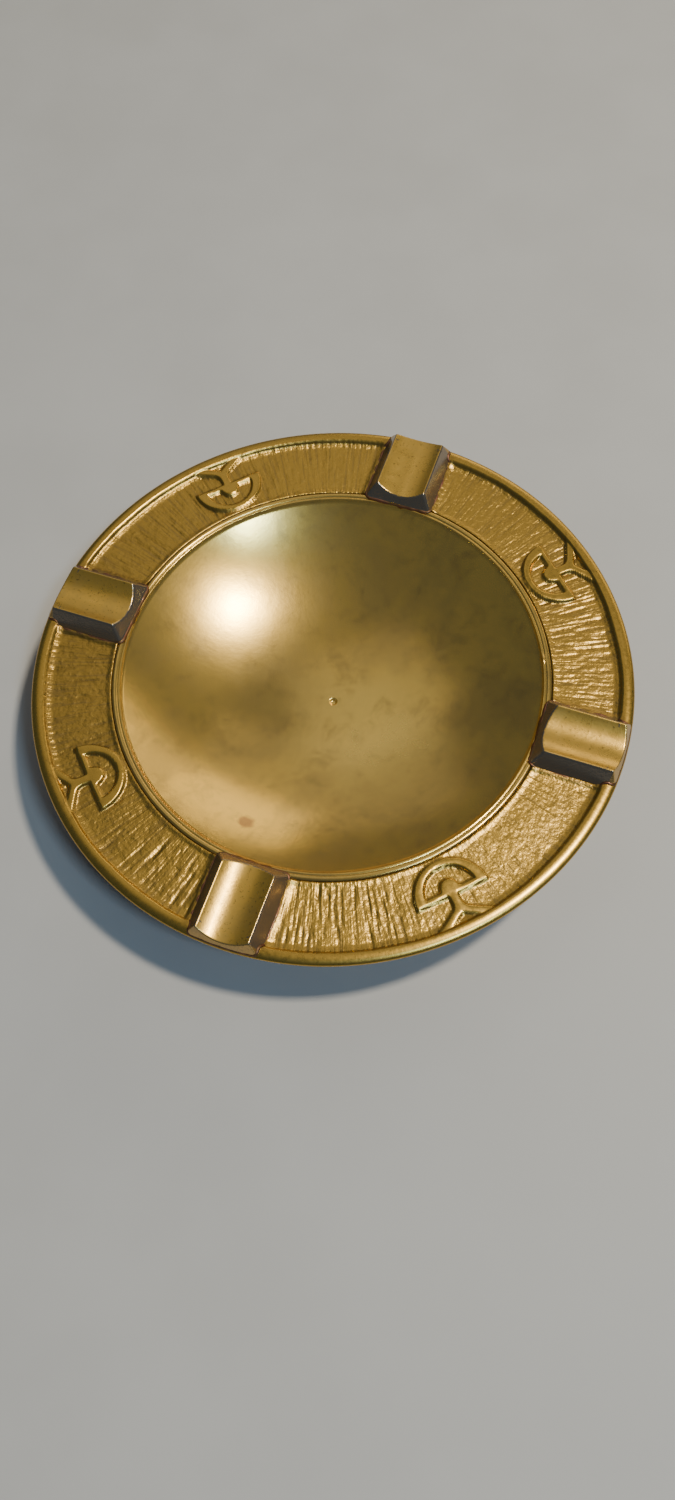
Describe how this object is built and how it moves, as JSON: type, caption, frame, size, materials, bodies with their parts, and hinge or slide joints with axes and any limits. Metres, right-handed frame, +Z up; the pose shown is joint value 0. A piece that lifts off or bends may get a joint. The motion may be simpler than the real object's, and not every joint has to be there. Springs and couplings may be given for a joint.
{
  "type": "ashtray",
  "caption": "Round brass ashtray: a dished bowl in a broad flat rim with recessed panels and relief figures, raised grooved rests for cigars, and a low foot ring.",
  "frame": {"origin": "centre of the foot ring's underside, which is the centre of the object's base", "axes": "+Z up, along the bowl's turned axis; the rests lie on the +X, +Y, -X and -Y axes and the relief figures on the diagonals"},
  "size_m": [0.17, 0.17, 0.0289],
  "materials": {
    "rim_brass": "cast and hand-worked, aged, polished lip",
    "bowl_brass": "turned smooth, satin, aged and mottled",
    "rest_brass": "polished, slightly darkened",
    "foot_brass": "turned, darkened",
    "solder": "dull coppery joint metal"
  },
  "bodies": {
    "root": {"rim": "rim_brass", "bowl": "bowl_brass", "foot_ring": "foot_brass", "rest_1": "rest_brass", "rest_2": "rest_brass", "rest_3": "rest_brass", "rest_4": "rest_brass", "rest_solder_1": "solder", "rest_solder_2": "solder", "rest_solder_3": "solder", "rest_solder_4": "solder", "rim_solder": "solder", "foot_solder": "solder"}
  },
  "joints": []
}
